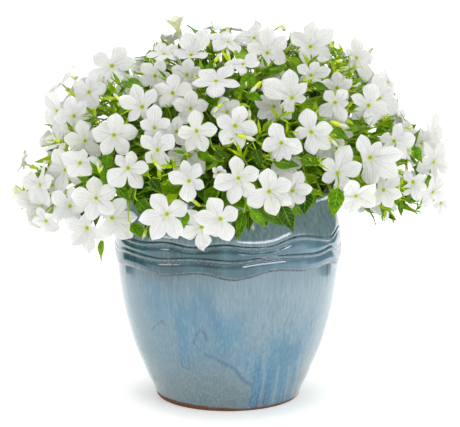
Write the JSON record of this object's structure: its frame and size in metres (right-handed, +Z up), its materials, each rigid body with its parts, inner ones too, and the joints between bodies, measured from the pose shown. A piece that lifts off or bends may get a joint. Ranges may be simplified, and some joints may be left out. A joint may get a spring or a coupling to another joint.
{
  "type": "potted browallia",
  "caption": "A bushy browallia in full white bloom, growing in a blue-grey glazed stoneware patio pot with wavy ridges under its neck.",
  "frame": {"origin": "centre of the pot's foot, on the surface the pot stands on", "axes": "+Z up along the pot's axis; -Y is the front, the fuller side of the plant; +X to the right seen from the front"},
  "size_m": [0.4266, 0.4268, 0.3805],
  "materials": {
    "glaze": "glossy blue-grey stoneware glaze, streaked, with brown breaks on the ridges and a bare brown foot line",
    "soil": "moist dark potting mix with bark and perlite",
    "foliage": "dark green, veined, half matt",
    "petal": "white, finely veined, soft"
  },
  "bodies": {
    "root": {"pot": "glaze", "potting_soil": "soil", "shoot_01": "foliage", "shoot_02": "foliage", "shoot_03": "foliage", "shoot_04": "foliage", "shoot_05": "foliage", "shoot_06": "foliage", "shoot_07": "foliage", "shoot_08": "foliage", "shoot_09": "foliage", "shoot_10": "foliage", "shoot_11": "foliage", "shoot_12": "foliage", "flower_01": "petal", "flower_02": "petal", "flower_03": "petal", "flower_04": "petal", "flower_05": "petal", "flower_06": "petal", "flower_07": "petal", "flower_08": "petal", "flower_09": "petal", "flower_10": "petal", "flower_11": "petal", "flower_12": "petal", "flower_13": "petal", "flower_14": "petal", "flower_15": "petal", "flower_16": "petal", "flower_17": "petal", "flower_18": "petal", "flower_19": "petal", "flower_20": "petal", "flower_21": "petal", "flower_22": "petal", "flower_23": "petal", "flower_24": "petal", "flower_25": "petal", "flower_26": "petal", "flower_27": "petal", "flower_28": "petal", "flower_29": "petal", "flower_30": "petal", "flower_31": "petal", "flower_32": "petal", "flower_33": "petal", "flower_34": "petal", "flower_35": "petal", "flower_36": "petal", "flower_37": "petal", "flower_38": "petal", "flower_39": "petal", "flower_40": "petal", "flower_41": "petal", "flower_42": "petal", "flower_43": "petal", "flower_44": "petal"}
  },
  "joints": []
}
